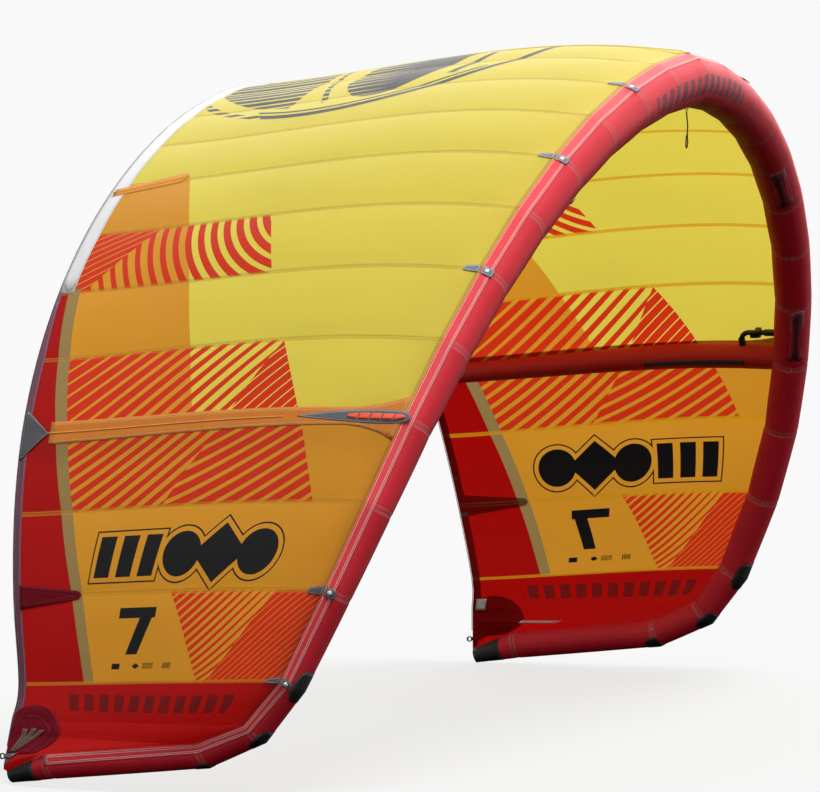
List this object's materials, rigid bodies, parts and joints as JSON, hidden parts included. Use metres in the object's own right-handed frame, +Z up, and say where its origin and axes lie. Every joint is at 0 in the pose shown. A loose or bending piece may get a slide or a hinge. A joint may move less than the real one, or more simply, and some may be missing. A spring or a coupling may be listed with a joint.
{
  "type": "kitesurf kite",
  "caption": "Inflatable kitesurf kite standing as an arch, with a tubular leading edge, struts under a sewn cloth canopy, a valve and tip line loops.",
  "frame": {"origin": "the middle of the leading edge tube's axis, where the kite is held", "axes": "+X along the span to the right wing, +Y from the leading edge to the trailing edge, +Z up"},
  "size_m": [3.6406, 1.5536, 2.0554],
  "materials": {
    "red_dacron": "satin",
    "bladder": "gloss",
    "black_dacron": "matte",
    "orange_dacron": "satin",
    "yellow_canopy": "satin",
    "amber_canopy": "satin",
    "red_canopy": "satin",
    "pale_dacron": "matte",
    "dark_patch": "matte",
    "grey_webbing": "matte",
    "black_webbing": "matte",
    "orange_rubber": "matte",
    "grey_plastic": "satin",
    "black_cord": "matte",
    "white_label": "matte",
    "black_plastic": "satin",
    "orange_plastic": "satin",
    "black_rubber": "matte",
    "zip_tape": "matte",
    "slider_metal": "satin"
  },
  "bodies": {
    "kite": {"le_casing_centre": "red_dacron", "le_casing_shoulder_l": "red_dacron", "le_casing_shoulder_r": "red_dacron", "le_casing_quarter_l": "red_dacron", "le_casing_quarter_r": "red_dacron", "le_casing_outer_l": "red_dacron", "le_casing_outer_r": "red_dacron", "le_casing_tip_l": "red_dacron", "le_casing_tip_r": "red_dacron", "le_casing_end_l": "red_dacron", "le_casing_end_r": "red_dacron", "le_bladder": "bladder", "scuff_bands_l": "black_dacron", "scuff_bands_r": "black_dacron", "tip_sleeve_l": "black_dacron", "tip_sleeve_r": "black_dacron", "centre_strut_casing": "red_dacron", "quarter_strut_casing_l": "red_dacron", "quarter_strut_casing_r": "red_dacron", "strut_bladders": "bladder", "strut_caps": "black_dacron", "centre_fairing": "orange_dacron", "quarter_fairing_l": "orange_dacron", "quarter_fairing_r": "orange_dacron", "bumper_bases": "grey_webbing", "strut_bumpers": "orange_rubber", "canopy_centre": "yellow_canopy", "canopy_mid_l": "yellow_canopy", "canopy_mid_r": "yellow_canopy", "canopy_outer_l": "amber_canopy", "canopy_outer_r": "amber_canopy", "canopy_tip_l": "red_canopy", "canopy_tip_r": "red_canopy", "te_band_centre": "pale_dacron", "te_band_l": "pale_dacron", "te_band_r": "pale_dacron", "te_patches": "dark_patch", "tip_patches": "dark_patch", "steering_loops": "black_webbing", "webbing_tabs": "grey_webbing", "battens": "grey_plastic", "batten_pockets": "amber_canopy", "leech_line": "black_cord", "care_labels": "white_label", "valve_body": "black_plastic", "one_pump_hoses": "black_rubber", "hose_fittings": "black_plastic", "clip_frames": "orange_plastic", "zips": "zip_tape", "leash_eye": "black_webbing", "pump_leash": "black_cord"},
    "valve_cap": {"valve_cap": "black_plastic"},
    "clip_lever_c": {"clip_lever_c": "black_plastic"},
    "clip_lever_l": {"clip_lever_l": "black_plastic"},
    "clip_lever_r": {"clip_lever_r": "black_plastic"},
    "zip_slider_shoulder_l": {"zip_slider_shoulder_l": "slider_metal"},
    "zip_slider_shoulder_r": {"zip_slider_shoulder_r": "slider_metal"},
    "zip_slider_quarter_l": {"zip_slider_quarter_l": "slider_metal"},
    "zip_slider_quarter_r": {"zip_slider_quarter_r": "slider_metal"}
  },
  "joints": [
    {"name": "valve_cap_flip", "type": "hinge", "parent": "kite", "child": "valve_cap", "pos_m": [-0.15173, 0.09335, -0.04611], "axis": [0.9971, -0.0681, 0.0343], "range_deg": [0, 150]},
    {"name": "clip_lever_c_swing", "type": "hinge", "parent": "kite", "child": "clip_lever_c", "pos_m": [0.08627, 0.11541, 0.03334], "axis": [-1, 0, 0], "range_deg": [0, 75]},
    {"name": "clip_lever_l_swing", "type": "hinge", "parent": "kite", "child": "clip_lever_l", "pos_m": [-1.50483, 0.32401, -0.84691], "axis": [-0.4713, -0.0095, -0.8819], "range_deg": [0, 75]},
    {"name": "clip_lever_r_swing", "type": "hinge", "parent": "kite", "child": "clip_lever_r", "pos_m": [1.50483, 0.32401, -0.84691], "axis": [-0.4713, 0.0095, 0.8819], "range_deg": [0, 75]},
    {"name": "zip_slider_shoulder_l_slide", "type": "slide", "parent": "kite", "child": "zip_slider_shoulder_l", "axis": [-0.8304, 0.1356, -0.5404], "range_m": [0, 0.15]},
    {"name": "zip_slider_shoulder_r_slide", "type": "slide", "parent": "kite", "child": "zip_slider_shoulder_r", "axis": [0.8304, 0.1356, -0.5404], "range_m": [0, 0.15]},
    {"name": "zip_slider_quarter_l_slide", "type": "slide", "parent": "kite", "child": "zip_slider_quarter_l", "axis": [-0.5458, 0.2404, -0.8027], "range_m": [0, 0.15]},
    {"name": "zip_slider_quarter_r_slide", "type": "slide", "parent": "kite", "child": "zip_slider_quarter_r", "axis": [0.5458, 0.2404, -0.8027], "range_m": [0, 0.15]}
  ]
}
